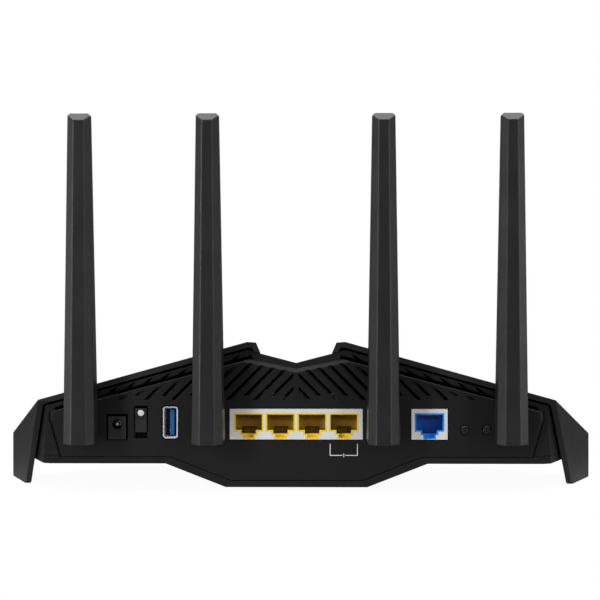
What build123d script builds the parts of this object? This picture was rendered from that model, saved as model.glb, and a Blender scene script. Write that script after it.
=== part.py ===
"""Wireless router with four folding antennas, all sizes in millimetres.

Frame: the origin is on the table, under the centre of the whole object's box. The sockets face -Y,
+X is to the right of someone who faces the sockets, and +Z is up. Depths into the body are counted
forwards from the outer face of the rear panel.
"""

from build123d import *
import os
from math import cos, radians, sin

# ---------------------------------------------------------------- overall sizes
overall_width = 275.4      # across the widest edges of the two side fins
overall_depth = 184.0      # from the antenna faces to the front lip
overall_height = 165.2     # from the table to the antenna tips
antenna_reach = 18.0       # how far the antenna faces stand behind the rear panel

board_top = 22.8           # top face of the circuit board; sockets, pivots and roof follow it

half_width = overall_width / 2
panel_y = -overall_depth / 2 + antenna_reach
body_depth = overall_depth - antenna_reach

# ---------------------------------------------------------------- walls and gaps
case_wall = 2.0
cover_wall = 2.4           # wing covers and their fins
cover_gap = 0.9            # between a wing cover and the upper case
seam = 0.15                # parting gap between neighbouring mouldings
fit = 0.2                  # clearance round a piece that plugs into an opening
running = 0.05             # radial clearance of a bearing
free = 0.35                # room round anything that swings or passes through

# ---------------------------------------------------------------- roof, nose and fins
peak_x = 21.6              # inner rear corner of a wing cover
peak_height = board_top + 43.1
roof_side_height = board_top + 17.6   # at the rear, where a cover folds down into its fin
roof_fall_front = 0.155    # fall per millimetre towards the front
nose_height = 19.0         # top of the front lip at the centre
nose_fall_side = 0.14
nose_fall_front = 0.75
fin_spread = 23.9          # how much wider the body is at its widest than at the rear
widest_depth = 85.0
front_corner_x = 95.0
lip_sweep = 0.16           # the front lip falls back this much per millimetre to the side
fin_rake_top = roof_side_height      # below this height the fin's rear edge runs forward and down
fin_rake = 1.0
fin_floor = 0.6            # the fins end here, on thin rubber strips
fin_front_rise = 0.7       # their lower edge rises this much per millimetre ahead of the widest point
cover_front_setback = 13.0 # from the front lip back to the wing cover's edge
cover_inner_x = 15.5       # foot of the inner flange at the rear
cover_inner_foot = board_top + 37.9
cover_inner_spread = 0.1
crest_x, crest_height = 17.6, peak_height - 0.3   # inner edge of the narrow flat along the crest

valley_height = board_top + 34.0     # centre channel between the wing covers, at the rear
valley_rise_side = 0.26
valley_fall_front = 0.2

# ---------------------------------------------------------------- lower hull
parting_height = 15.3
hull_floor = 11.8
keel_floor = 1.4
keel_half_bottom = 31.3
keel_half_top = 58.0
keel_front_depth = body_depth - 48
keel_front_run = 30.0
under_bevel = 3.5          # bevel under the rear panel, in depth

# ---------------------------------------------------------------- rear panel
panel_proud = 1.5          # the panel stands this far behind the case's rear wall
panel_rim = 2.5            # width of the rim that covers the wall
panel_edge_inset = 29.1    # from the widest edge to the panel's outer edge
panel_knee_inset = 4.6
panel_knee_height = board_top + 8.5
panel_shoulder_height = board_top + 12.1
panel_peak_x = 20.6
panel_peak_height = board_top + 35.3
panel_dip_height = board_top + 31.2
panel_keel_height = 5.0
panel_keel_half = 29.0
panel_keel_top = 55.1
panel_bevel = 0.35
panel_side_bevel = 1.3
dip_bevel_height, dip_bevel_depth = 1.8, 1.3     # wider bevel along the dip in the top edge
shadow_gap, shadow_gap_depth = 0.5, 1.2          # groove in the case round the panel
band_width = 2.3           # flat of the case wall that shows beside the panel

panel_half = half_width - panel_edge_inset
fin_root = half_width - fin_spread
roof_fall_side = (peak_height - roof_side_height) / (fin_root - peak_x)
wall_y = panel_y + panel_proud

# ---------------------------------------------------------------- cooling slots
slot_pitch = 6.0
slot_first = 4.1           # first slot's centre line, at the higher of the two lower ends
slot_width, slot_depth = 1.7, 0.8
slit_width = 1.1           # the part of each slot that goes right through, along its upper side
slot_above_sockets, slot_stagger = 3.9, 1.8
slot_margin = 1.6
slot_centre_gap = 1.1
groove_height, groove_depth = 1.5, 5.0
groove_inner_x = 19.5
tooth_pitch = 7.75
tooth_width = 3.3
tooth_height, tooth_depth = 2.3, 10.0

# ---------------------------------------------------------------- sockets
board_thickness = 1.6
board_back = 5.2           # depth of the circuit board's rear edge
board_half = half_width - 39.7
board_front = body_depth - 61
board_corner_x, board_corner_depth = board_half - 28, board_front - 35

port_pitch = 13.97
port_count = 4
port_width, port_height = 11.7, 6.9
latch_width, latch_height = 6.4, 1.6
tab_width, tab_height, tab_depth = 4.2, 1.7, 3.0
port_top = board_top + 11.0
port_depth = 13.0
shield_sheet = 0.3
shield_top = board_top + 13.5
slot_low = shield_top + slot_above_sockets
slot_high = slot_low + slot_stagger
shield_length = 21.0
shield_recess = 0.3
port_rim = 0.6
lan_half = port_count * port_pitch / 2 + 1.36
wan_x, wan_half = 58.65, 7.95
contact_pitch, contact_size = 1.02, 0.34

usb_x, usb_z = -55.4, board_top + 7.45
usb_width, usb_height = 5.7, 13.1
usb_flare = 0.45
usb_corner = 0.9
usb_length = 17.0
usb_sheet = 0.4
usb_tongue_thickness = 1.8

socket_gap, usb_gap = 0.45, 0.55     # dark gaps between the sockets and the panel
dc_gap, dc_gap_above, dc_gap_below = 0.85, 1.2, 0.5
dc_x, dc_width, dc_height = -78.95, 7.8, 10.0
dc_hole_radius, dc_pin_radius, dc_hole_depth = 2.25, 0.65, 9.5
dc_hole_z = board_top + 6.6
dc_length = 14.0

switch_x, switch_width = -68.45, 6.4
switch_low, switch_high = board_top + 0.5, board_top + 14.8
rocker_width, rocker_height, rocker_throw = 5.0, 10.6, 14.0
rocker_pivot_z, rocker_pivot_depth = board_top + 8.8, 3.4
trunnion_radius = 0.9

button_xs = {"wps_button": 74.1, "reset_button": 83.9}
button_z, button_radius, button_travel = board_top + 4.2, 1.9, 0.8
button_clearance = 0.08
button_guide_end = 5.0

# ---------------------------------------------------------------- antennas
antenna_xs = {"outer_left": -(half_width - 43.7), "inner_left": -38.3,
              "inner_right": 38.3, "outer_right": half_width - 43.7}
pivot_z = board_top + 6.2
blade_bottom = pivot_z - 7.8
pivot_behind = 10.0        # hinge axis, behind the rear panel
blade_face_half, blade_half = 3.35, 6.8
blade_bevel_depth = 2.5
blade_thickness = 12.4
blade_draft = 0.6
tip_face_half, tip_half = 2.2, 4.9
tip_thickness = 5.5
tip_bevel_height = 3.1
tip_corner = 1.0
heel_bevel = 2.2
blade_wall = 1.2
back_cover_thickness = 1.3
knuckle_width = 6.0
knuckle_radius = 4.0
hinge_pin_radius = 1.1
shaft_radius = 3.0
bushing_radius, bushing_end = 5.5, 5.5
swivel_disc_radius, swivel_disc_proud = 5.2, 1.5
snap_radius, snap_length = 4.1, 1.6
coax_radius = 0.6
coax_bore_radius = 1.0

far = 400.0                # larger than the whole object


# ================================================================ small helpers
def surface(height, side_slope, depth_slope):
    """A plane through (0, panel_y, height) that rises by these slopes per millimetre in X and in Y."""
    return Plane(origin=(0, panel_y, height), z_dir=(-side_slope, -depth_slope, 1))


def through(a, b, c, outward):
    """The plane through three points, its normal on the side this direction points to."""
    a, b, c = Vector(a), Vector(b), Vector(c)
    normal = (b - a).cross(c - a).normalized()
    return Plane(origin=a, z_dir=normal if normal.dot(Vector(outward)) > 0 else -normal)


def mirrored_planes(planes):
    return [Plane(origin=(-p.origin.X, p.origin.Y, p.origin.Z),
                  z_dir=(-p.z_dir.X, p.z_dir.Y, p.z_dir.Z)) for p in planes]


def kept_under(solid, planes):
    """What is left of a solid behind every plane, on the side away from its normal."""
    for plane in planes:
        solid = split(solid, bisect_by=plane, keep=Keep.BOTTOM)
    return solid


def inset(planes, amount):
    return [plane.offset(-amount) for plane in planes]


def block(x0, x1, depth0, depth1, z0, z1):
    """A box given by its limits; the second pair is depth in front of the rear panel."""
    return (Pos((x0 + x1) / 2, panel_y + (depth0 + depth1) / 2, (z0 + z1) / 2)
            * Box(x1 - x0, depth1 - depth0, z1 - z0))


def prism(outline, depth0, depth1):
    """A sketch drawn in X and Z, extruded from one depth to another."""
    plane = Plane(origin=(0, panel_y + depth0, 0), x_dir=(1, 0, 0), z_dir=(0, -1, 0))
    return extrude(plane * outline, amount=depth0 - depth1)


def side_profile(outline, x, width):
    """A sketch drawn in depth and Z, extruded by this width, centred on x."""
    plane = Plane(origin=(x - width / 2, panel_y, 0), x_dir=(0, 1, 0), z_dir=(1, 0, 0))
    return extrude(plane * outline, amount=width)


def rod_y(x, z, radius, depth0, depth1):
    return prism(Pos(x, z) * Circle(radius), depth0, depth1)


def rod_x(x0, x1, depth, z, radius):
    return Pos((x0 + x1) / 2, panel_y + depth, z) * (Rot(0, 90, 0) * Cylinder(radius, x1 - x0))


def rod_z(x, depth, radius, z0, z1):
    return Pos(x, panel_y + depth, (z0 + z1) / 2) * Cylinder(radius, z1 - z0)


def rectangle(x0, x1, z0, z1):
    return Pos((x0 + x1) / 2, (z0 + z1) / 2) * Rectangle(x1 - x0, z1 - z0)


def mirrored(shape):
    return mirror(shape, about=Plane.YZ)


def both_sides(shape):
    return shape + mirrored(shape)


def joined(shapes):
    """Separate solids kept together in one node."""
    return Compound(children=[solid for shape in shapes for solid in shape.solids()])


parts = {}

# ================================================================ body envelope
roof = surface(peak_height + roof_fall_side * peak_x, -roof_fall_side, -roof_fall_front)
nose = surface(nose_height + nose_fall_front * body_depth, -nose_fall_side, -nose_fall_front)
valley = surface(valley_height, valley_rise_side, -valley_fall_front)
lip = Plane(origin=(0, panel_y + body_depth, 0), z_dir=(lip_sweep, 1, 0))
corner_depth = body_depth - lip_sweep * front_corner_x
fin_rear = Plane(origin=(fin_root, panel_y, 0), z_dir=(1, -fin_spread / widest_depth, 0))
fin_front = Plane(origin=(half_width, panel_y + widest_depth, 0),
                  z_dir=(1, (half_width - front_corner_x) / (corner_depth - widest_depth), 0))
skin = [roof, nose, fin_rear, fin_front]
cover_step = cover_wall + cover_gap

rear_wall = Plane(origin=(0, wall_y, 0), z_dir=(0, -1, 0))
panel_foot_x = panel_half - panel_knee_inset
corner_facet = through((panel_foot_x + band_width, wall_y, parting_height),
                       (panel_half + band_width + 1.3, wall_y, panel_knee_height),
                       (fin_root + 2.2, wall_y + 9, hull_floor), (1, -1, 0))
hull_bottom = Plane(origin=(0, 0, hull_floor), z_dir=(0, 0, -1))
hull_under_bevel = through((0, wall_y, parting_height), (1, wall_y, parting_height),
                           (0, wall_y + under_bevel, hull_floor), (0, 0, -1))


def case_half(depth_in, rear_in=None):
    """The right half of the case above its keel, with every face moved in by depth_in."""
    faces = inset(skin, cover_step + depth_in)
    faces += inset([lip, valley, corner_facet, hull_under_bevel, hull_bottom], depth_in)
    faces += inset([rear_wall], depth_in if rear_in is None else rear_in)
    return kept_under(block(0, far, -far, far, -far, far), faces)


def keel(depth_in):
    """The lower centre of the hull, down to the feet."""
    rear_y, under_y, front_y = wall_y, wall_y + under_bevel, panel_y + keel_front_depth
    side = through((keel_half_bottom, 0, keel_floor), (keel_half_bottom, 1, keel_floor),
                   (keel_half_top, 0, hull_floor), (0, 0, -1))
    side_bevel = through((panel_keel_half, rear_y, panel_keel_height),
                         (panel_keel_top, rear_y, parting_height),
                         (keel_half_bottom, under_y, keel_floor), (0, 0, -1))
    bevel = through((0, rear_y, panel_keel_height), (1, rear_y, panel_keel_height),
                    (0, under_y, keel_floor), (0, 0, -1))
    front = through((0, front_y, keel_floor), (1, front_y, keel_floor),
                    (0, front_y + keel_front_run, hull_floor), (0, 0, -1))
    floor = Plane(origin=(0, 0, keel_floor), z_dir=(0, 0, -1))
    brow = nose.offset(-cover_step)
    faces = [side, side_bevel, lip, brow]
    faces += mirrored_planes(faces) + [bevel, front, rear_wall, floor]
    top = Plane(origin=(0, 0, parting_height + 1), z_dir=(0, 0, 1))
    return kept_under(block(-far, far, -far, far, -far, far), inset(faces, depth_in) + [top])


def roof_height(x, depth):
    return peak_height + roof_fall_side * (peak_x - abs(x)) - roof_fall_front * depth


def valley_top(depth):
    return valley_height - valley_fall_front * depth


# ================================================================ rear panel
panel_outline = make_face(Polyline(
    (0, panel_dip_height), (panel_peak_x, panel_peak_height), (panel_half, panel_shoulder_height),
    (panel_half, panel_knee_height), (panel_foot_x, parting_height),
    (panel_keel_top, parting_height), (panel_keel_half, panel_keel_height),
    (-panel_keel_half, panel_keel_height), (-panel_keel_top, parting_height),
    (-panel_foot_x, parting_height), (-panel_half, panel_knee_height),
    (-panel_half, panel_shoulder_height), (-panel_peak_x, panel_peak_height), close=True))


def panel_inset(amount):
    return offset(panel_outline, amount=-amount, kind=Kind.INTERSECTION)


def slot_field(width):
    """The right half's diagonal cooling slots, or this width of each along its upper side.

    Their lower ends alternate in height."""
    reach = panel_peak_height - slot_low
    diagonal = 2 ** 0.5
    slots = Sketch()
    for k in range(int((panel_half - slot_first) / slot_pitch)):
        low = slot_low if k % 2 == 0 else slot_high
        upper = slot_first + k * slot_pitch + slot_high - low + slot_width / 2 * diagonal
        lower = upper - width * diagonal
        slots += make_face(Polyline((lower, low), (upper, low), (upper - reach, low + reach),
                                    (lower - reach, low + reach), close=True))
    return slots & panel_inset(slot_margin) & rectangle(slot_centre_gap, far, 0, far)


def panel_plate():
    """The plate with its bevelled edges; along the dip in its top edge the bevel is wider."""
    plate = prism(panel_outline & rectangle(0, far, 0, far), 0, panel_proud)
    rim = plate.faces().sort_by(Axis.Y)[0].edges()
    rim = [e for e in rim if e.center().X > 0.1 and not (e.center().X < panel_peak_x and e.center().Z > slot_low)]
    plate = chamfer(rim, panel_bevel)
    side_faces = []
    for a, b in (((panel_foot_x, parting_height), (panel_half, panel_knee_height)),
                 ((panel_half, panel_knee_height), (panel_half, panel_shoulder_height))):
        side_faces.append(through((a[0] - panel_side_bevel, panel_y, a[1]), (b[0] - panel_side_bevel, panel_y, b[1]),
                                  (a[0], panel_y + panel_side_bevel, a[1]), (1, -1, 0)))
    dip = through((0, panel_y, panel_dip_height - dip_bevel_height),
                  (panel_peak_x, panel_y, panel_peak_height - dip_bevel_height),
                  (0, panel_y + dip_bevel_depth, panel_dip_height), (0, -1, 1))
    return both_sides(kept_under(plate, side_faces + [dip]))


switch_hole = rectangle(switch_x - switch_width / 2, switch_x + switch_width / 2, switch_low, switch_high)
dc_hole = rectangle(dc_x - dc_width / 2 - dc_gap, dc_x + dc_width / 2 + dc_gap,
                    board_top - dc_gap_below, board_top + dc_height + dc_gap_above)
usb_rim = usb_flare + usb_gap
usb_hole = Pos(usb_x, usb_z) * RectangleRounded(usb_width + 2 * usb_rim, usb_height + 2 * usb_rim,
                                                usb_corner + usb_rim)
lan_hole = rectangle(-lan_half - socket_gap, lan_half + socket_gap, board_top - socket_gap, shield_top + socket_gap)
wan_hole = rectangle(wan_x - wan_half - socket_gap, wan_x + wan_half + socket_gap,
                     board_top - socket_gap, shield_top + socket_gap)


def button_countersink(x):
    """The small cone at the mouth of a button's hole."""
    mouth = Plane(origin=(x, panel_y, button_z), x_dir=(1, 0, 0), z_dir=(0, 1, 0))
    flare = 0.35
    return extrude(mouth * Circle(button_radius + button_clearance + flare), amount=flare, taper=45)


def rear_panel():
    panel = panel_plate()
    plug = panel_inset(panel_rim + fit) - panel_inset(panel_rim + fit + 1.5)
    panel += prism(plug, panel_proud, panel_proud + case_wall)
    for x in antenna_xs.values():
        panel += rod_y(x, pivot_z, bushing_radius, 0.5, bushing_end)
        panel -= rod_y(x, pivot_z, shaft_radius + running, -1, bushing_end + 1)
    for x in button_xs.values():
        panel += rod_y(x, button_z, button_radius + 1.6, 0.5, button_guide_end)
        panel -= rod_y(x, button_z, button_radius + button_clearance, -1, button_guide_end + 1)
        panel -= button_countersink(x)
    for width, depth in ((slot_width, slot_depth), (slit_width, far / 4)):
        slots = prism(slot_field(width), -1, depth)
        panel -= slots
        panel -= mirrored(slots)
    for hole in (switch_hole, dc_hole, usb_hole, lan_hole, wan_hole):
        panel -= prism(hole, -1, 2)
    return panel


parts["rear_panel"] = rear_panel()

# ================================================================ case halves
board_posts = [(board_half - 8, 30), (board_corner_x - 8, board_front - 7)]
case_posts = [(half_width - 25.7, 60), (75, body_depth - 41)]
cover_pegs = [(42, 22), (92, 30), (62, body_depth - 54)]
peg_radius = 1.5
screw_radius, screw_hole, screw_head = 1.2, 1.5, 2.8
board_bottom = board_top - board_thickness
status_depth, status_half = board_front - 7, 18.0
status_count, status_pitch = 8, 4.6


def roofline_cuts():
    """The groove along the panel's top edge and the deep raked notches over it."""
    groove, teeth = Sketch(), Sketch()
    run = panel_half - panel_peak_x
    slope = (panel_peak_height - panel_shoulder_height) / run

    def edge(x):
        return panel_peak_height - slope * (x - panel_peak_x)

    outer = panel_half - 2
    groove += make_face(Polyline((groove_inner_x, edge(groove_inner_x) - 1), (outer, edge(outer) - 1),
                                 (outer, edge(outer) + groove_height),
                                 (groove_inner_x, edge(groove_inner_x) + groove_height), close=True))
    x = groove_inner_x + 7
    while x + tooth_width + tooth_height < outer:
        base, top = edge(x) + groove_height - 0.1, edge(x) + groove_height + tooth_height
        teeth += make_face(Polyline((x, base), (x + tooth_width, base - slope * tooth_width),
                                    (x + tooth_width * 0.6 - tooth_height, top - slope * tooth_width),
                                    (x - tooth_height, top), close=True))
        x += tooth_pitch
    return prism(groove, 0, panel_proud + groove_depth) + prism(teeth, 0, panel_proud + tooth_depth)


case_shell = (both_sides(case_half(0)) + keel(0)) - (both_sides(case_half(case_wall)) + keel(case_wall))
case_shell -= prism(panel_inset(panel_rim), 0, panel_proud + under_bevel + case_wall)
shadow_line = (panel_inset(-shadow_gap) - panel_inset(shadow_gap)) & rectangle(-far, far, 0, panel_shoulder_height)
case_shell -= prism(shadow_line, 0, panel_proud + shadow_gap_depth)


def bottom_case():
    lower = kept_under(case_shell, [Plane(origin=(0, 0, parting_height), z_dir=(0, 0, 1))])
    floor = hull_floor + case_wall
    for side in (1, -1):
        for x, depth in board_posts:
            lower += rod_z(side * x, depth, 3.2, floor - 0.5, board_bottom)
            lower -= rod_z(side * x, depth, screw_hole, floor, board_bottom + 1)
        for x, depth in case_posts:
            lower += rod_z(side * x, depth, 4.6, hull_floor, parting_height)
            lower -= rod_z(side * x, depth, screw_head + free, hull_floor - 1, hull_floor + 1.8)
            lower -= rod_z(side * x, depth, screw_hole, hull_floor - 1, parting_height + 1)
        for k in range(7):
            x = side * (66 + 5 * k)
            lower -= block(x - 1, x + 1, 40, 84, hull_floor - 1, floor + 1)
    return lower


def upper_case():
    upper = kept_under(case_shell, [Plane(origin=(0, 0, parting_height + seam), z_dir=(0, 0, -1))])
    inside = both_sides(case_half(case_wall / 2))
    for side in (1, -1):
        for x, depth in case_posts:
            upper += rod_z(side * x, depth, 3.6, parting_height + seam, far / 4) & inside
            upper -= rod_z(side * x, depth, screw_hole, parting_height - 1, hull_floor + 12.5)
        for x, depth in cover_pegs:
            upper -= rod_z(side * x, depth, peg_radius + free, parting_height, far / 2)
    cuts = roofline_cuts()
    upper -= cuts
    upper -= mirrored(cuts)
    z = valley_top(status_depth)
    return upper - block(-status_half - fit, status_half + fit, status_depth - 2 - fit,
                         status_depth + 2 + fit, z - 6, z + 12)


parts["bottom_case"] = bottom_case()
parts["upper_case"] = upper_case()

# ================================================================ wing covers and feet
foot_fall = valley_rise_side * cover_inner_spread - valley_fall_front
cover_flange = through((cover_inner_x, panel_y, cover_inner_foot), (crest_x, panel_y, crest_height),
                       (cover_inner_x + cover_inner_spread, panel_y + 1, cover_inner_foot + foot_fall),
                       (-1, 0, 0))
cover_crest = through((crest_x, panel_y, crest_height), (peak_x, panel_y, peak_height),
                      (crest_x, panel_y + 1, crest_height - roof_fall_front), (0, 0, 1))
cover_faces = skin + [cover_crest, cover_flange]
cover_rear = Plane(origin=(0, wall_y - 0.5, 0), z_dir=(0, -1, 0))
cover_rake = Plane(origin=(0, panel_y, fin_rake_top), z_dir=(0, -1, -fin_rake))
cover_front = lip.offset(-cover_front_setback)
fin_rise = Plane(origin=(0, panel_y + widest_depth, fin_floor), z_dir=(0, fin_front_rise, -1))


def folded_plate():
    """The right cover and its fin as one bent plate, running on below the table."""
    space = block(0, far, -far, far, -far, far)
    plate = kept_under(space, cover_faces) - kept_under(space, inset(cover_faces, cover_wall))
    return kept_under(plate, [cover_rear, cover_rake, cover_front, fin_rise])


def right_cover(plate):
    cover = kept_under(plate, [Plane(origin=(0, 0, fin_floor), z_dir=(0, 0, -1))])
    cover -= case_half(-seam, -far / 2) + block(-1, fin_root - 25, -far, far, -far, hull_floor + 5)
    for x, depth in cover_pegs:
        top = roof_height(x, depth)
        cover += rod_z(x, depth, peg_radius, top - 8, top - 1.2)
    return cover


def fin_strip(plate):
    """The rubber strip under the lower edge of a fin."""
    return plate & block(fin_root, far, widest_depth / 2, widest_depth, 0, fin_floor)


plate = folded_plate()
parts["right_wing_cover"] = right_cover(plate)
parts["left_wing_cover"] = mirrored(parts["right_wing_cover"])
parts["fin_strips"] = joined([fin_strip(plate), mirrored(fin_strip(plate))])
parts["rubber_feet"] = joined(rod_z(x, depth, 5, 0, keel_floor)
                              for x in (-24, 24) for depth in (34, keel_front_depth - 13))

# ================================================================ circuit board and what it carries
main_board = extrude(Plane(origin=(0, panel_y, board_bottom)) * make_face(Polyline(
    (-board_half, board_back), (board_half, board_back), (board_half, board_corner_depth),
    (board_corner_x, board_front), (-board_corner_x, board_front), (-board_half, board_corner_depth),
    close=True)), amount=board_thickness)
for x, depth in board_posts:
    main_board -= rod_z(x, depth, screw_hole + 0.1, board_bottom - 1, board_top + 1)
    main_board -= rod_z(-x, depth, screw_hole + 0.1, board_bottom - 1, board_top + 1)
parts["main_board"] = main_board


def screw(x, depth, seat, length, upwards=False):
    """A pan-head screw; the head rests on the seat and the shank runs away from it."""
    head = 1.6
    if upwards:
        shape = rod_z(x, depth, screw_head, seat - head, seat) + rod_z(x, depth, screw_radius, seat - 1, seat + length)
        return shape - block(x - 1.8, x + 1.8, depth - 0.35, depth + 0.35, seat - head - 1, seat - head + 0.7)
    shape = rod_z(x, depth, screw_head, seat, seat + head) + rod_z(x, depth, screw_radius, seat - length, seat + 1)
    return shape - block(x - 1.8, x + 1.8, depth - 0.35, depth + 0.35, seat + head - 0.7, seat + head + 1)


parts["board_screws"] = joined(screw(side * x, depth, board_top, 6) for side in (1, -1) for x, depth in board_posts)
parts["case_screws"] = joined(screw(side * x, depth, hull_floor + 1.8, 9, upwards=True)
                              for side in (1, -1) for x, depth in case_posts)


def chip(x, rear, side, height):
    return block(x - side / 2, x + side / 2, rear, rear + side, board_top, board_top + height)


chip_height = 1.6
sink_rear, sink_front = 36.0, board_front - 23
parts["processor_chips"] = joined([chip(x, sink_rear + 1.5, side, chip_height)
                                   for x, side in ((0, 22), (-48, 14), (48, 14))])


def heat_sink():
    base = board_top + chip_height
    sink = block(-62, 62, sink_rear, sink_front, base, base + 2)
    for k in range(16):
        x = -60 + 8 * k
        sink += block(x - 0.7, x + 0.7, sink_rear + 1, sink_front - 1, base + 1, base + 9)
    return sink


parts["heat_sink"] = heat_sink()


def rf_shield(x0, x1, depth0, depth1):
    outer = block(x0, x1, depth0, depth1, board_top, board_top + 3)
    sheet = shield_sheet
    return outer - block(x0 + sheet, x1 - sheet, depth0 + sheet, depth1 - sheet,
                         board_top - 1, board_top + 3 - sheet)


parts["rf_shields"] = joined(rf_shield(x, x + 24, sink_rear + 4, board_front - 31)
                             for x in (-board_half + 8, board_half - 32))
parts["lan_transformers"] = joined(block(x - 6, x + 6, 24, 32, board_top, board_top + 5.5)
                                   for x in (-21, -7, 7, 21, 58))
parts["capacitors"] = joined(rod_z(x, 24, 3.2, board_top, board_top + 8) for x in (-84, -76, -68))
parts["status_leds"] = joined(block(x - 0.8, x + 0.8, status_depth - 0.5, status_depth + 0.5,
                                    board_top, board_top + 0.7)
                              for x in [(k - (status_count - 1) / 2) * status_pitch for k in range(status_count)])


def status_light_pipe():
    """A clear bar in the valley with one light guide down to each lamp."""
    top = valley_top(status_depth)
    bar = block(-status_half, status_half, status_depth - 2, status_depth + 2, top - 3.5, top + 12)
    bar = both_sides(kept_under(bar & block(0, far, 0, far, 0, far), [valley]))
    for k in range(status_count):
        x = (k - (status_count - 1) / 2) * status_pitch
        bar += block(x - 0.9, x + 0.9, status_depth - 1, status_depth + 1, board_top + 1.0, top - 3)
    return bar


parts["status_light_pipe"] = status_light_pipe()

# ================================================================ modular sockets
port_xs = [(k - (port_count - 1) / 2) * port_pitch for k in range(port_count)]
port_low = port_top - port_height
cavity_low = port_low - latch_height - tab_height


def body_outline(x):
    return rectangle(x - port_width / 2, x + port_width / 2, port_low, port_top)


def latch_outline(x):
    return rectangle(x - latch_width / 2, x + latch_width / 2, port_low - latch_height, port_low + 1)


def tab_outline(x):
    return rectangle(x - tab_width / 2, x + tab_width / 2, cavity_low, port_low)


def port_rim_outline(x, extra=0.0):
    """The stepped outline of one socket's front rim."""
    outline = body_outline(x) + latch_outline(x) + tab_outline(x)
    return offset(outline, amount=port_rim + extra, kind=Kind.INTERSECTION)


def contact_xs(x):
    return [x + (k - 3.5) * contact_pitch for k in range(8)]


def jack_shield(x0, x1, centres):
    depth0, depth1 = shield_recess, shield_recess + shield_length
    shell = block(x0, x1, depth0, depth1, board_top, shield_top)
    shell -= block(x0 + shield_sheet, x1 - shield_sheet, depth0 + shield_sheet, depth1 - shield_sheet,
                   board_top - 1, shield_top - shield_sheet)
    for x in centres:
        shell -= prism(port_rim_outline(x, 0.04), depth0 - 1, depth0 + 1)
    return shell


def jack_housing(x0, x1, centres, latch_depth):
    """The moulding in the shield; the latch's channel is as deep as stated, the tab's is shallow."""
    gap = shield_sheet + 0.05
    depth0 = shield_recess + gap
    body = block(x0 + gap, x1 - gap, depth0, 16, board_top, shield_top - gap)
    for x in centres:
        body += prism(port_rim_outline(x), shield_recess, depth0 + 1)
        body -= prism(body_outline(x), -1, port_depth)
        body -= prism(latch_outline(x), -1, latch_depth)
        body -= prism(tab_outline(x), -1, tab_depth)
        for cx in contact_xs(x):
            body -= block(cx - 0.3, cx + 0.3, 2.6, 17, port_top - 0.1, shield_top)
            body -= block(cx - 0.3, cx + 0.3, port_depth - 1, 17, port_top - 1.9, shield_top)
    return body


def jack_contacts(centres):
    """Eight bent wires per socket: foot on the board, up the back, forward, then into the opening."""
    half = contact_size / 2
    wire = trace(Polyline((18.6, board_top + half), (17.2, board_top + half), (17.2, board_top + 12.2),
                          (3.2, board_top + 12.2),
                          (3.2, port_top - 0.2), (10.4, port_top - 2.8)), line_width=contact_size)
    return joined(side_profile(wire, cx, contact_size) for x in centres for cx in contact_xs(x))


parts["lan_shield"] = jack_shield(-lan_half, lan_half, port_xs)
parts["lan_housing"] = jack_housing(-lan_half, lan_half, port_xs, 15.6)
parts["lan_contacts"] = jack_contacts(port_xs)
parts["wan_shield"] = jack_shield(wan_x - wan_half, wan_x + wan_half, [wan_x])
parts["wan_housing"] = jack_housing(wan_x - wan_half, wan_x + wan_half, [wan_x], port_depth)
parts["wan_contacts"] = jack_contacts([wan_x])


# ================================================================ USB socket, on edge
def usb_section(grow):
    """The rounded outline of the shell, grown or shrunk by this much a side."""
    return Pos(usb_x, usb_z) * RectangleRounded(usb_width + 2 * grow, usb_height + 2 * grow, usb_corner + grow)


def usb_flare_solid(grow):
    """The funnel of the shell's mouth, from the flared lip back to the plain tube."""
    front = Plane(origin=(0, panel_y + 0.2, 0), x_dir=(1, 0, 0), z_dir=(0, -1, 0))
    back = Plane(origin=(0, panel_y + 1.8, 0), x_dir=(1, 0, 0), z_dir=(0, -1, 0))
    return loft([front * usb_section(usb_flare + grow), back * usb_section(grow)])


def usb_shell():
    tube = usb_flare_solid(0) + prism(usb_section(0), 1.8, usb_length)
    tube -= usb_flare_solid(-usb_sheet) + prism(usb_section(-usb_sheet), 1.8, usb_length - usb_sheet)
    foot_top = usb_z - usb_height / 2 + 0.2
    for depth in (7.0, 13.0):
        tube += block(usb_x - usb_width / 2, usb_x - usb_width / 2 + usb_sheet, depth - 1, depth + 1,
                      board_top, foot_top)
        tube += block(usb_x + usb_width / 2 - usb_sheet, usb_x + usb_width / 2, depth - 1, depth + 1,
                      board_top, foot_top)
    return tube


tongue_x = usb_x + 0.7
parts["usb_shell"] = usb_shell()
parts["usb_tongue"] = (
    block(tongue_x - usb_tongue_thickness / 2, tongue_x + usb_tongue_thickness / 2, 1.5, 13,
          usb_z - 5.5, usb_z + 5.5)
    + prism(usb_section(-usb_sheet - 0.02), 12.5, usb_length - usb_sheet))
contact_face = tongue_x - usb_tongue_thickness / 2
parts["usb_contacts"] = joined(block(contact_face - 0.15, contact_face, 2.2 + 0.6 * (k % 3 > 0), 12,
                                     usb_z + (k - 1.5) * 2.3 - 0.5, usb_z + (k - 1.5) * 2.3 + 0.5)
                               for k in range(4))

# ================================================================ power inlet
parts["dc_jack_body"] = (
    block(dc_x - dc_width / 2, dc_x + dc_width / 2, 0, dc_length, board_top, board_top + dc_height)
    - rod_y(dc_x, dc_hole_z, dc_hole_radius, -1, dc_hole_depth)
    - rod_y(dc_x, dc_hole_z, 1.2, -1, dc_length + 1))
parts["dc_jack_pin"] = (rod_y(dc_x, dc_hole_z, dc_pin_radius, 1.0, dc_length)
                        + rod_y(dc_x, dc_hole_z, 0.9, dc_hole_depth + 1, dc_length + 0.8)
                        + rod_y(dc_x, dc_hole_z, 2.4, dc_length, dc_length + 0.8))

# ================================================================ power switch
rocker_half = rocker_height / 2
switch_body_width = switch_width + 3.4


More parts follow.
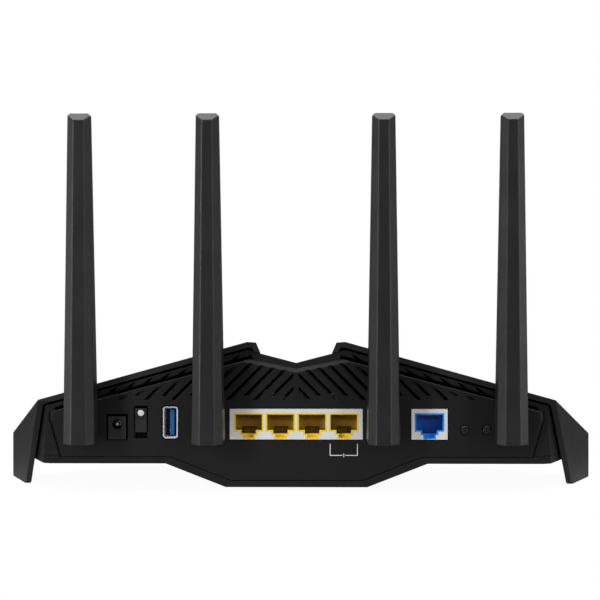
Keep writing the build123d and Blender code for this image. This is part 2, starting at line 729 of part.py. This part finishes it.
def switch_housing():
    """The switch's body behind the panel, wider than the panel's opening; it carries the rocker's pivots."""
    body = block(switch_x - switch_body_width / 2, switch_x + switch_body_width / 2,
                 panel_proud + 0.5, 12, board_top, switch_high + 1.2)
    pit = rocker_width / 2 + fit
    body -= block(switch_x - pit, switch_x + pit, -1, 9.5, rocker_pivot_z - rocker_half - 3.1,
                  rocker_pivot_z + rocker_half + 0.8)
    reach = rocker_width / 2 + 1.2
    return body - rod_x(switch_x - reach, switch_x + reach, rocker_pivot_depth, rocker_pivot_z,
                        trunnion_radius + running)


def power_rocker():
    """Lower half pressed in; its two faces meet in a shallow ridge line at the pivot."""
    half, lean = rocker_half, radians(rocker_throw / 2)
    tip, dish, back = -rocker_pivot_depth - 0.2, -rocker_pivot_depth + 0.5, 1.7
    corners = [(tip, half), (dish, 0.0), (tip, -half), (0.2, -half), (back, -1.6), (back, 1.6), (0.2, half)]
    turned = [(d * cos(lean) - z * sin(lean), d * sin(lean) + z * cos(lean)) for d, z in corners]
    profile = make_face(Polyline(*[(rocker_pivot_depth + d, rocker_pivot_z + z) for d, z in turned], close=True))
    reach = rocker_width / 2 + 1.0
    return side_profile(profile, switch_x, rocker_width) + rod_x(
        switch_x - reach, switch_x + reach, rocker_pivot_depth, rocker_pivot_z, trunnion_radius)


parts["power_switch_housing"] = switch_housing()
parts["power_rocker"] = power_rocker()

# ================================================================ push buttons
button_tail = button_guide_end + 4
switch_face = button_tail + button_travel + 0.05


def push_button(x):
    """A cap in its guide, a collar that keeps it in, and a stem that reaches the switch."""
    cap = chamfer(rod_y(x, button_z, button_radius, -0.2, button_guide_end + 0.1).faces().sort_by(Axis.Y)[0].edges(), 0.3)
    collar = rod_y(x, button_z, button_radius + 1.1, button_guide_end + 0.1, button_guide_end + 1.1)
    return cap + collar + rod_y(x, button_z, 1.2, button_guide_end, button_tail)


for name, x in button_xs.items():
    parts[name] = push_button(x)
parts["tact_switches"] = joined(block(x - 3, x + 3, switch_face + 0.8, switch_face + 5, board_top, button_z + 3)
                                + rod_y(x, button_z, 1.6, switch_face, switch_face + 1)
                                for x in button_xs.values())

# ================================================================ antennas
pivot_depth = -pivot_behind
tip_z = overall_height
front_depth = -antenna_reach
back_low = front_depth + blade_thickness
back_high = front_depth + tip_thickness


def at(x, depth, z):
    return (x, panel_y + depth, z)


def blade_planes():
    """The faces of one antenna blade standing at x = 0: its back face, then all the others."""
    base, shoulder = blade_bottom, front_depth + blade_bevel_depth
    back = through(at(0, back_low, base), at(1, back_low, base), at(0, back_high, tip_z), (0, 1, 0))
    bevel = through(at(blade_face_half, front_depth, base), at(blade_half, shoulder, base),
                    at(tip_face_half, front_depth, tip_z), (1, -1, 0))
    side = through(at(blade_half, shoulder, base), at(tip_half, shoulder, tip_z),
                   at(blade_half + blade_draft, back_low, base), (1, 0, 0))
    corner = through(at(tip_half, 0, tip_z - tip_corner), at(tip_half, 1, tip_z - tip_corner),
                     at(tip_half - tip_corner, 0, tip_z), (1, 0, 1))
    front = Plane(origin=at(0, front_depth, 0), z_dir=(0, -1, 0))
    heel = through(at(0, front_depth, base), at(1, front_depth, base),
                   at(0, back_low, base + heel_bevel), (0, 0, -1))
    tip = through(at(0, front_depth, tip_z - tip_bevel_height), at(1, front_depth, tip_z - tip_bevel_height),
                  at(0, front_depth + tip_bevel_height, tip_z), (0, -1, 1))
    top = Plane(origin=at(0, 0, tip_z), z_dir=(0, 0, 1))
    sides = [bevel, side, corner]
    return back, sides + mirrored_planes(sides) + [front, heel, tip, top]


blade_back, blade_faces = blade_planes()
cheek_top = pivot_z + knuckle_radius + 4
coax_entry = pivot_depth + hinge_pin_radius + coax_radius + 0.3
slot_half = knuckle_width / 2 + free


def blade_hollow(faces):
    space = block(-far, far, -far, far, cheek_top, far)
    return kept_under(space, faces)


def blade_front_shell():
    """The blade's outer moulding: face, bevels, sides and the two hinge cheeks; open at the back."""
    blade = kept_under(block(-far, far, -far, far, -far, far), [blade_back] + blade_faces)
    blade -= blade_hollow(inset(blade_faces, blade_wall))
    reach = knuckle_radius + free
    blade -= block(-slot_half, slot_half, pivot_depth - reach, 0, 0, pivot_z + reach)
    blade -= rod_x(-5.6, 5.6, pivot_depth, pivot_z, hinge_pin_radius)
    blade -= rod_z(0, coax_entry, coax_bore_radius, pivot_z, cheek_top)
    return blade - block(-coax_bore_radius, coax_bore_radius, pivot_depth - 0.5, coax_entry + 0.9,
                         pivot_z + reach + 1, cheek_top + 1)


def blade_back_cover():
    """The lid that closes the blade's back, let in flush between the side walls."""
    sides = inset(blade_faces, blade_wall + fit / 2)
    lid = kept_under(block(-far, far, -far, far, cheek_top + fit / 2, far), [blade_back] + sides)
    return kept_under(lid, [-blade_back.offset(-back_cover_thickness)])


def radiator():
    """The radiating strip on its thin board, with the coaxial lead that feeds it."""
    depth = front_depth + 2.6
    strip = block(-2.3, 2.3, depth, depth + 0.8, pivot_z + 31, tip_z - 15)
    solder = depth + 0.8 + coax_radius / 2
    lead = sweep_round([(0, solder, pivot_z + 37), (0, solder, pivot_z + 23),
                        (0, pivot_depth - 0.6, pivot_z + 16), (0, pivot_depth - 0.6, pivot_z + 11),
                        (0, coax_entry, cheek_top - 2.2), (0, coax_entry, pivot_z + knuckle_radius + free)],
                       coax_radius, 1.0)
    return strip + lead


def sweep_round(points, radius, turn=2.0):
    """A round lead through these (x, depth, z) points with rounded turns."""
    path = FilletPolyline(*[at(*p) for p in points], radius=turn)
    return sweep(Plane(origin=path @ 0, z_dir=path % 0) * Circle(radius), path=path)


def swivel_base():
    """Hollow shaft, disc and neck that turn in the panel, with the knuckle the blade tilts on."""
    disc = rod_y(0, pivot_z, swivel_disc_radius, -swivel_disc_proud, -running)
    shaft = rod_y(0, pivot_z, shaft_radius, -1, bushing_end + running + snap_length)
    snap = rod_y(0, pivot_z, snap_radius, bushing_end + running, bushing_end + running + snap_length)
    neck = block(-knuckle_width / 2, knuckle_width / 2, pivot_depth, -1,
                 pivot_z - knuckle_radius + 0.6, pivot_z + knuckle_radius - 0.6)
    knuckle = rod_x(-knuckle_width / 2, knuckle_width / 2, pivot_depth, pivot_z, knuckle_radius)
    base = disc + shaft + snap + neck + knuckle
    base -= rod_x(-far, far, pivot_depth, pivot_z, hinge_pin_radius + running)
    base -= block(-0.6, 0.6, 1, 20, 0, far)
    base -= rod_y(0, pivot_z, coax_bore_radius, coax_entry, 20)
    return base - rod_z(0, coax_entry, coax_bore_radius, pivot_z - coax_bore_radius, far)


lead_start = bushing_end + snap_length + 1.0


def swivel_lead():
    """The lead's run through the knuckle and the hollow shaft."""
    return sweep_round([(0, coax_entry, pivot_z + knuckle_radius + 0.2), (0, coax_entry, pivot_z),
                        (0, lead_start, pivot_z)], coax_radius)


antenna_pieces = {"blade_front": blade_front_shell(), "blade_back": blade_back_cover(),
                  "radiator": radiator(), "swivel_base": swivel_base(), "swivel_lead": swivel_lead(),
                  "hinge_pin": rod_x(-5.5, 5.5, pivot_depth, pivot_z, hinge_pin_radius)}
for name, x in antenna_xs.items():
    for piece, shape in antenna_pieces.items():
        parts[name + "_" + piece] = Pos(x, 0, 0) * shape

connector_depth = 14.0
parts["antenna_connectors"] = joined(block(x - 1.5, x + 1.5, connector_depth - 1.5, connector_depth + 1.5,
                                           board_top, board_top + 1.3) for x in antenna_xs.values())
parts["antenna_leads"] = joined(sweep_round(
    [(x, lead_start, pivot_z), (x, connector_depth, pivot_z), (x, connector_depth, board_top + 1.3)],
    coax_radius) for x in antenna_xs.values())

# ================================================================ files
os.makedirs("parts", exist_ok=True)
for name, shape in parts.items():
    export_step(shape, "parts/" + name + ".step")
    box = shape.bounding_box()
    print(f"{name:30s} solids {len(shape.solids()):3d}  x {box.min.X:8.2f} {box.max.X:8.2f}"
          f"  y {box.min.Y:8.2f} {box.max.Y:8.2f}  z {box.min.Z:8.2f} {box.max.Z:8.2f}")
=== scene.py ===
from math import radians

import bmesh
import bpy
from mathutils import Matrix, Vector


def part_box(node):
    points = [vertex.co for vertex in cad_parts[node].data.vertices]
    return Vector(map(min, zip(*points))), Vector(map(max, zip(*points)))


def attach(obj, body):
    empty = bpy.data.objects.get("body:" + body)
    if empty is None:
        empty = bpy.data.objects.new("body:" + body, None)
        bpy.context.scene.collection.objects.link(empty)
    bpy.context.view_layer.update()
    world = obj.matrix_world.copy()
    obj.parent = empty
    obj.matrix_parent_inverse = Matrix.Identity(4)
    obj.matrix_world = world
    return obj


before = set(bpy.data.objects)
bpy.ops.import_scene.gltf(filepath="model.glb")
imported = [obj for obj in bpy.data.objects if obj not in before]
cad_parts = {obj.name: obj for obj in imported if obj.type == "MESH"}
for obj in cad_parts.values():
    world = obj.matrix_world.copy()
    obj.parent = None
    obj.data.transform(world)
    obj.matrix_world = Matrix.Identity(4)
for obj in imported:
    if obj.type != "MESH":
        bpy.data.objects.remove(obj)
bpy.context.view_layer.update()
mm = 0.001

# ---------------------------------------------------------------- camera
# A long lens, level with the middle of the antennas, that faces the sockets from a metre away.
rear_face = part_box("rear_panel")[0][1]
camera_distance, camera_height, camera_side = 970 * mm, 84.2 * mm, 21.5 * mm
camera_turn = 1.17
camera_data = bpy.data.cameras.new("camera")
camera_data.sensor_width = 36.0
camera_data.lens = 132.3
camera_data.clip_start = 0.01
camera = bpy.data.objects.new("camera", camera_data)
camera.location = (camera_side, rear_face - camera_distance, camera_height)
camera.rotation_euler = (radians(90), 0, radians(camera_turn))
bpy.context.collection.objects.link(camera)
bpy.context.scene.camera = camera
bpy.context.scene.view_settings.view_transform = "Standard"


# ---------------------------------------------------------------- table and light
# A light table, a sheet of white acrylic, fades into a white surround; the camera sees it brighter than
# it lights the router. Soft boxes stand at both sides and overhead, and behind the camera it stays dim.
def linear(hex_colour):
    """An sRGB hex colour as linear RGBA."""
    channels = [int(hex_colour[i:i + 2], 16) / 255 for i in (1, 3, 5)]
    return [c / 12.92 if c <= 0.04045 else ((c + 0.055) / 1.055) ** 2.4 for c in channels] + [1.0]


def add(tree, kind, inputs={}, **settings):
    """Adds a node. Settings are its properties; inputs are values or other nodes' sockets."""
    node = tree.nodes.new("ShaderNode" + kind)
    for name, value in settings.items():
        setattr(node, name, value)
    for name, value in inputs.items():
        if isinstance(value, bpy.types.NodeSocket):
            tree.links.new(value, node.inputs[name])
        else:
            node.inputs[name].default_value = value
    return node


def new_material(name):
    """A material with its principled shader and its node tree."""
    material = bpy.data.materials.new(name)
    material.use_nodes = True
    tree = material.node_tree
    return material, tree, tree.nodes["Principled BSDF"]


def finished(maker, name, material):
    """Turns a bmesh into an object at the origin with one material."""
    mesh = bpy.data.meshes.new(name)
    maker.to_mesh(mesh)
    maker.free()
    mesh.materials.append(material)
    piece = bpy.data.objects.new(name, mesh)
    bpy.context.collection.objects.link(piece)
    return piece


table_radius = 0.32
table_centre = (0, 0.03, 0)
light_table, tree, shader = new_material("opal_light_table")
shader.inputs["Base Color"].default_value = linear("#383838")
shader.inputs["Roughness"].default_value = 0.9
shader.inputs["Specular IOR Level"].default_value = 0.1
shader.inputs["Emission Color"].default_value = linear("#ffffff")
seen = add(tree, "LightPath").outputs["Is Camera Ray"]
glow = add(tree, "MapRange", {"Value": seen, "To Min": 0.5, "To Max": 0.96}).outputs["Result"]
tree.links.new(glow, shader.inputs["Emission Strength"])
place = add(tree, "TexCoord").outputs["Object"]
distance = add(tree, "VectorMath", {0: place, 1: table_centre}, operation="DISTANCE").outputs["Value"]
fade = add(tree, "MapRange", {"Value": distance, "From Min": 0.10, "From Max": 0.72 * table_radius},
           interpolation_type="SMOOTHERSTEP").outputs["Result"]
clear = add(tree, "BsdfTransparent")
mix = add(tree, "MixShader", {0: fade, 1: shader.outputs[0], 2: clear.outputs[0]})
tree.links.new(mix.outputs[0], tree.nodes["Material Output"].inputs["Surface"])
maker = bmesh.new()
bmesh.ops.create_circle(maker, cap_ends=True, segments=64, radius=table_radius,
                        matrix=Matrix.Translation(table_centre))
table = finished(maker, "table_board", light_table)

world = bpy.data.worlds.new("studio")
bpy.context.scene.world = world
world.use_nodes = True
tree = world.node_tree
tree.nodes.clear()
direction = add(tree, "TexCoord").outputs["Generated"]
toward_back = add(tree, "SeparateXYZ", {0: direction}).outputs["Y"]
glow = add(tree, "MapRange", {"Value": toward_back, "From Min": -0.6, "From Max": 1.0,
                              "To Min": 0.24, "To Max": 0.14}).outputs["Result"]
dim = add(tree, "Background", {"Color": linear("#ffffff"), "Strength": glow})
white = add(tree, "Background", {"Color": linear("#ffffff"), "Strength": 1.0})
seen = add(tree, "LightPath").outputs["Is Camera Ray"]
mix = add(tree, "MixShader", {0: seen, 1: dim.outputs[0], 2: white.outputs[0]})
add(tree, "OutputWorld", {"Surface": mix.outputs[0]})


def soft_box(name, place, target, size, watts):
    """A rectangular lamp at one place that faces another."""
    data = bpy.data.lights.new(name, "AREA")
    data.shape, data.size, data.size_y, data.energy = "RECTANGLE", size[0], size[1], watts
    lamp = bpy.data.objects.new(name, data)
    lamp.location = place
    lamp.rotation_euler = (Vector(target) - Vector(place)).to_track_quat("-Z", "Y").to_euler()
    bpy.context.collection.objects.link(lamp)


soft_box("overhead_box", (0, 0.15, 1.5), (0, 0, 0), (2.0, 2.0), 44)
soft_box("left_box", (-1.3, -0.12, 0.1), (0, 0, 0.03), (0.5, 0.4), 1.3)
soft_box("right_box", (1.3, -0.12, 0.1), (0, 0, 0.03), (0.5, 0.4), 1.7)
soft_box("left_strip", (-0.95, -1.15, 0.25), (0, 0, 0.08), (0.3, 1.0), 11)
soft_box("right_strip", (0.95, -1.15, 0.25), (0, 0, 0.08), (0.3, 1.0), 5)


# ---------------------------------------------------------------- moulded housing
# The lower hull, the upper case and the rear panel are black ABS, moulded in spark-eroded steel. The
# fine grain scatters the light; the corners are painted a little paler, as rubbed wear and as painted edge
# highlight.
def dress(material, *nodes):
    """Gives CAD nodes this material."""
    for name in nodes:
        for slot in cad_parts[name].material_slots:
            slot.material = material


def grained_plastic(name, colour, roughness, grain, edge=0.3, relief=0.01, wear_and_edge_highlight=1.5):
    """Moulded plastic: a grain of this size in millimetres, mottled gloss, rounded corners painted paler as
    wear and painted highlight.
    """
    material, tree, shader = new_material(name)
    place = add(tree, "TexCoord").outputs["Object"]
    blotch = add(tree, "TexNoise", {"Vector": place, "Scale": 1 / (18 * mm), "Detail": 3.0}).outputs["Fac"]
    fleck = add(tree, "TexNoise", {"Vector": place, "Scale": 1 / (grain * mm), "Detail": 2.0}).outputs["Fac"]
    base = linear(colour)
    pale = [min(1, c * 1.2) for c in base[:3]] + [1]
    dark = [c * 0.85 for c in base[:3]] + [1]
    # Corners are painted paler by this factor: partly rubbed wear, partly a painted edge highlight.
    rubbed_and_highlit = [min(1, c * wear_and_edge_highlight) for c in base[:3]] + [1]
    tint = add(tree, "Mix", {"Factor": fleck, "A": dark, "B": pale}, data_type="RGBA").outputs["Result"]
    rounded = add(tree, "Bevel", {"Radius": edge * mm}, samples=4).outputs["Normal"]
    flat = add(tree, "NewGeometry").outputs["Normal"]
    turn = add(tree, "VectorMath", {0: rounded, 1: flat}, operation="DOT_PRODUCT").outputs["Value"]
    corner = add(tree, "MapRange", {"Value": turn, "From Min": 0.99, "From Max": 0.8}).outputs["Result"]
    worn_and_highlit = add(tree, "Mix", {"Factor": corner, "A": tint, "B": rubbed_and_highlit}, data_type="RGBA").outputs["Result"]
    tree.links.new(worn_and_highlit, shader.inputs["Base Color"])
    gloss = add(tree, "MapRange", {"Value": blotch, "From Min": 0.3, "From Max": 0.7,
                                   "To Min": roughness - 0.04, "To Max": roughness + 0.05}).outputs["Result"]
    tree.links.new(gloss, shader.inputs["Roughness"])
    bump = add(tree, "Bump", {"Strength": 0.5, "Distance": relief * mm, "Height": fleck, "Normal": rounded})
    tree.links.new(bump.outputs["Normal"], shader.inputs["Normal"])
    shader.inputs["IOR"].default_value = 1.5
    return material


def tune(material, values):
    """Sets inputs of the material's shader that are the same all over it."""
    for name, value in values.items():
        material.node_tree.nodes["Principled BSDF"].inputs[name].default_value = value


case_abs = grained_plastic("black_grained_abs", "#0b0b0b", 0.5, 0.5)
tune(case_abs, {"Specular IOR Level": 0.26})
dress(case_abs, "bottom_case", "upper_case", "rear_panel")


# ---------------------------------------------------------------- printed marks
# Marks of hard ink, pad-printed on the panel: a white bracket below the last socket, and a dark gloss
# number below each of the four.
def ink(name, colour, roughness):
    """Pad-printing ink: opaque, slightly uneven in gloss, with a faint pull along the stroke."""
    material, tree, shader = new_material(name)
    place = add(tree, "TexCoord").outputs["Object"]
    film = add(tree, "TexNoise", {"Vector": place, "Scale": 1 / (0.6 * mm), "Detail": 3.0}).outputs["Fac"]
    base = linear(colour)
    thin = [c * 0.85 for c in base[:3]] + [1]
    cover = add(tree, "Mix", {"Factor": film, "A": thin, "B": base}, data_type="RGBA").outputs["Result"]
    tree.links.new(cover, shader.inputs["Base Color"])
    gloss = add(tree, "MapRange", {"Value": film, "To Min": roughness - 0.1, "To Max": roughness + 0.1})
    tree.links.new(gloss.outputs["Result"], shader.inputs["Roughness"])
    return material


def bar(maker, x0, x1, y0, y1, z0, z1):
    """Adds a straight bar with these limits."""
    corners = bmesh.ops.create_cube(maker, size=1.0)["verts"]
    bmesh.ops.scale(maker, verts=corners, vec=(x1 - x0, y1 - y0, z1 - z0))
    bmesh.ops.translate(maker, verts=corners, vec=((x0 + x1) / 2, (y0 + y1) / 2, (z0 + z1) / 2))


white_ink = ink("white_pad_ink", "#e8e8e8", 0.5)
black_ink = ink("black_pad_ink", "#050505", 0.3)
ink_film = 0.03 * mm
lan_low, lan_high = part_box("lan_shield")
port_count, port_pitch = 4, 13.97 * mm
first_port = (lan_low[0] + lan_high[0] - (port_count - 1) * port_pitch) / 2
ports = [first_port + k * port_pitch for k in range(port_count)]

bracket_half, line = 6.15 * mm, 0.32 * mm
leg_top, leg_foot = lan_low[2] - 1.9 * mm, lan_low[2] - 7.1 * mm
tick_rise, tick_gap = 0.85 * mm, 0.6 * mm
maker = bmesh.new()
front, back = rear_face - ink_film, rear_face
x = ports[-1]
for side in (-1, 1):
    edge = sorted((x + side * bracket_half, x + side * (bracket_half - line)))
    bar(maker, *edge, front, back, leg_foot, leg_top)
    run = sorted((x + side * (bracket_half - line), x + side * tick_gap))
    bar(maker, *run, front, back, leg_foot, leg_foot + line)
tick_z = leg_foot + line / 2
bar(maker, x - line / 2, x + line / 2, front, back, tick_z - tick_rise, tick_z + tick_rise)
bracket = finished(maker, "printed_bracket", white_ink)
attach(bracket, "housing")

digit_height, digit_z = 1.9 * mm, lan_low[2] - 3.7 * mm
height_share = 0.7         # a digit's height as a share of the font's size
for k, x in enumerate(ports):
    letter = bpy.data.curves.new("port_digit", "FONT")
    letter.body, letter.align_x = str(port_count - k), "CENTER"
    letter.size, letter.extrude = digit_height / height_share, ink_film / 2
    outline = bpy.data.objects.new("port_digit", letter)
    bpy.context.collection.objects.link(outline)
    bpy.context.view_layer.update()
    mesh = bpy.data.meshes.new_from_object(outline.evaluated_get(bpy.context.evaluated_depsgraph_get()))
    bpy.data.objects.remove(outline)
    on_panel = Matrix.Translation((x, rear_face - ink_film / 2, digit_z))
    mesh.transform(on_panel @ Matrix.Rotation(radians(90), 4, "X"))
    mesh.materials.clear()
    mesh.materials.append(black_ink)
    digit = bpy.data.objects.new("port_digit_%d" % (port_count - k), mesh)
    bpy.context.collection.objects.link(digit)
    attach(digit, "housing")

# ---------------------------------------------------------------- wing covers
# Two folded covers of satin ABS that clip over the upper case and drop down as fins.
cover_abs = grained_plastic("satin_cover_abs", "#151415", 0.5, 0.6)
tune(cover_abs, {"Specular IOR Level": 0.35})
dress(cover_abs, "left_wing_cover", "right_wing_cover")

# ---------------------------------------------------------------- feet
# Soft black rubber, punched from sheet and glued on. It is duller than the case and hardly shines.
foot_rubber = grained_plastic("black_foot_rubber", "#121212", 0.8, 0.8)
dress(foot_rubber, "fin_strips", "rubber_feet")

# ---------------------------------------------------------------- antennas
# Each blade is a polycarbonate shell with a lid let into its back. The mould was polished more than
# the case's, so the bevels catch long, even highlights.
blade_polycarbonate = grained_plastic("satin_blade_polycarbonate", "#191719", 0.34, 0.5, edge=0.8)
antennas = ("outer_left", "inner_left", "inner_right", "outer_right")
for antenna in antennas:
    dress(blade_polycarbonate, antenna + "_blade_front", antenna + "_blade_back")

# Turned acetal swivel bases: a slippery black plastic with a soft waxy shine.
acetal = grained_plastic("black_turned_acetal", "#101011", 0.33, 0.4)
for antenna in antennas:
    dress(acetal, antenna + "_swivel_base")


# ---------------------------------------------------------------- network sockets
# Nickel-plated sheet folded round glass-filled nylon, with eight gold-plated spring wires in each
# opening. The four local sockets are yellow, the one for the line outside is blue.
def satin_metal(name, colour, roughness, streak, edge=0.12):
    """Rolled, drawn or plated metal with faint streaks of this spacing in millimetres."""
    material, tree, shader = new_material(name)
    place = add(tree, "TexCoord").outputs["Object"]
    along = add(tree, "Mapping", {"Vector": place, "Scale": (0.06, 1.0, 1.0)}).outputs["Vector"]
    streaks = add(tree, "TexNoise", {"Vector": along, "Scale": 1 / (streak * mm),
                                     "Detail": 4.0}).outputs["Fac"]
    cloud = add(tree, "TexNoise", {"Vector": place, "Scale": 1 / (6 * mm), "Detail": 2.0}).outputs["Fac"]
    base = linear(colour)
    dull = [c * 0.8 for c in base[:3]] + [1]
    tint = add(tree, "Mix", {"Factor": cloud, "A": dull, "B": base}, data_type="RGBA").outputs["Result"]
    tree.links.new(tint, shader.inputs["Base Color"])
    shader.inputs["Metallic"].default_value = 1.0
    gloss = add(tree, "MapRange", {"Value": streaks, "To Min": roughness - 0.06, "To Max": roughness + 0.08})
    tree.links.new(gloss.outputs["Result"], shader.inputs["Roughness"])
    rounded = add(tree, "Bevel", {"Radius": edge * mm}, samples=4).outputs["Normal"]
    bump = add(tree, "Bump", {"Strength": 0.3, "Distance": 0.004 * mm, "Height": streaks, "Normal": rounded})
    tree.links.new(bump.outputs["Normal"], shader.inputs["Normal"])
    return material


nickel = satin_metal("matt_nickel_plated_sheet", "#f6f3f2", 0.5, 0.4)
tune(nickel, {"Metallic": 0.55})
dress(nickel, "lan_shield", "wan_shield", "usb_shell", "rf_shields")
gold = satin_metal("gold_plating", "#f0cf86", 0.25, 0.2)
dress(gold, "lan_contacts", "wan_contacts", "usb_contacts", "antenna_connectors")
# The yellow nylon's corners are painted almost twice as pale: a painted highlight on the socket rims.
yellow_nylon = grained_plastic("yellow_glass_filled_nylon", "#ffcc26", 0.38, 0.3, edge=0.25, wear_and_edge_highlight=1.9)
blue_nylon = grained_plastic("blue_glass_filled_nylon", "#0a8cea", 0.38, 0.3, edge=0.15, wear_and_edge_highlight=1.1)


def paint_channel_shade(material, reach, dark):
    """Paints shade into the base colour of deep narrow channels, which look nearly black because little light
    comes back out of them.
    """
    tree = material.node_tree
    shader = tree.nodes["Principled BSDF"]
    colour = shader.inputs["Base Color"].links[0].from_socket
    open_sky = add(tree, "AmbientOcclusion", {"Distance": reach * mm}, samples=8).outputs["AO"]
    light = add(tree, "MapRange", {"Value": open_sky, "From Min": dark,
                                   "From Max": 3 * dark}).outputs["Result"]
    painted_channel_shade = add(tree, "Mix", {"Factor": light, "A": linear("#140d05"), "B": colour}, data_type="RGBA")
    tree.links.new(painted_channel_shade.outputs["Result"], shader.inputs["Base Color"])


# Painted shade: in the yellow nylon's deep channels the base colour is darkened towards a near-black brown.
channel_reach, channel_dark = 12, 0.06
paint_channel_shade(yellow_nylon, channel_reach, channel_dark)
dress(yellow_nylon, "lan_housing")
dress(blue_nylon, "wan_housing")

# ---------------------------------------------------------------- usb socket
# The blue tongue of the fast kind carries four contacts inside the flared shell.
tongue_nylon = grained_plastic("blue_tongue_nylon", "#0e5c9c", 0.35, 0.3, edge=0.15, wear_and_edge_highlight=1.1)
dress(tongue_nylon, "usb_tongue")

# ---------------------------------------------------------------- power inlet and switch
# Both are small black nylon bodies. The pin in the inlet is plated brass; the rocker has a white spot
# printed on the half that stands proud when the switch is on.
black_nylon = grained_plastic("black_moulded_nylon", "#111111", 0.45, 0.3, edge=0.2)
dress(black_nylon, "dc_jack_body", "power_switch_housing", "power_rocker", "tact_switches")
plated_pin = satin_metal("nickel_plated_pin", "#d6d4d2", 0.2, 0.2)
dress(plated_pin, "dc_jack_pin", *[antenna + "_hinge_pin" for antenna in antennas])

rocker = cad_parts["power_rocker"]
rocker_low, rocker_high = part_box("power_rocker")
spot_radius, spot_drop = 1.42 * mm, 2.4 * mm
start = Vector(((rocker_low[0] + rocker_high[0]) / 2, rear_face - 20 * mm, rocker_high[2] - spot_drop))
bpy.context.view_layer.update()
depsgraph = bpy.context.evaluated_depsgraph_get()
_, centre, facing, _ = rocker.ray_cast(start, (0, 1, 0), depsgraph=depsgraph)
maker = bmesh.new()
bmesh.ops.create_cone(maker, cap_ends=True, segments=48, radius1=spot_radius, radius2=spot_radius * 0.96,
                      depth=2 * ink_film)
turn = facing.to_track_quat("Z", "Y").to_matrix().to_4x4()
bmesh.ops.transform(maker, matrix=Matrix.Translation(centre) @ turn, verts=maker.verts)
spot = finished(maker, "rocker_spot", white_ink)
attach(spot, "power_rocker")

# ---------------------------------------------------------------- push buttons
# Small turned caps of black polycarbonate, polished enough to show a round highlight; their edges are painted
# three times paler, a painted highlight.
button_polycarbonate = grained_plastic("gloss_button_polycarbonate", "#141415", 0.25, 0.4, edge=0.3, wear_and_edge_highlight=3.0)
dress(button_polycarbonate, "wps_button", "reset_button")


# ---------------------------------------------------------------- circuit board
# Glass-fibre board under a green solder mask; the copper tracks below it show as paler lines.
def solder_mask():
    """Green lacquer on a glass-fibre board, with a faint weave in its gloss."""
    material, tree, shader = new_material("green_solder_mask")
    place = add(tree, "TexCoord").outputs["Object"]
    tracks = add(tree, "TexBrick", {"Vector": place, "Scale": 1.0, "Brick Width": 9 * mm,
                                    "Row Height": 1.1 * mm, "Mortar Size": 0.35 * mm,
                                    "Color1": linear("#0b3a22"), "Color2": linear("#0d4427"),
                                    "Mortar": linear("#2a7a49")})
    weave = add(tree, "TexNoise", {"Vector": place, "Scale": 1 / (1.2 * mm), "Detail": 2.0}).outputs["Fac"]
    tree.links.new(tracks.outputs["Color"], shader.inputs["Base Color"])
    gloss = add(tree, "MapRange", {"Value": weave, "To Min": 0.2, "To Max": 0.4}).outputs["Result"]
    tree.links.new(gloss, shader.inputs["Roughness"])
    bump = add(tree, "Bump", {"Strength": 0.4, "Distance": 0.03 * mm, "Height": tracks.outputs["Fac"]})
    tree.links.new(bump.outputs["Normal"], shader.inputs["Normal"])
    return material


dress(solder_mask(), "main_board")

# ---------------------------------------------------------------- parts on the board
# Epoxy packages, an extruded heat sink, sleeved capacitors, and the lamps under their light guide.
epoxy = grained_plastic("black_moulded_epoxy", "#1c1c1e", 0.55, 0.4, edge=0.1)
dress(epoxy, "processor_chips", "lan_transformers")
extruded_aluminium = satin_metal("extruded_aluminium", "#c8cacc", 0.38, 0.5, edge=0.2)
dress(extruded_aluminium, "heat_sink")
zinc = satin_metal("zinc_plated_steel", "#b9bbc0", 0.32, 0.3)
dress(zinc, "board_screws", "case_screws")
shrink_sleeve = grained_plastic("capacitor_shrink_sleeve", "#1d2a4a", 0.3, 1.0, edge=0.4)
dress(shrink_sleeve, "capacitors")
phosphor = grained_plastic("lamp_silicone", "#f1ecd8", 0.4, 0.2, edge=0.1, wear_and_edge_highlight=1.0)
dress(phosphor, "status_leds")
acrylic = grained_plastic("milky_acrylic", "#d5dade", 0.2, 0.4, edge=0.3, wear_and_edge_highlight=1.0)
tune(acrylic, {"Transmission Weight": 0.5, "IOR": 1.49})
dress(acrylic, "status_light_pipe")

# ---------------------------------------------------------------- leads and radiators
# Thin coaxial leads in a black jacket run to copper strips on a brown board inside each blade.
jacket = grained_plastic("black_lead_jacket", "#141414", 0.45, 0.5, edge=0.1)
dress(jacket, "antenna_leads", *[antenna + "_swivel_lead" for antenna in antennas])
radiator_board = grained_plastic("brown_laminate", "#7a4f26", 0.45, 0.5, edge=0.1, wear_and_edge_highlight=1.1)
dress(radiator_board, *[antenna + "_radiator" for antenna in antennas])
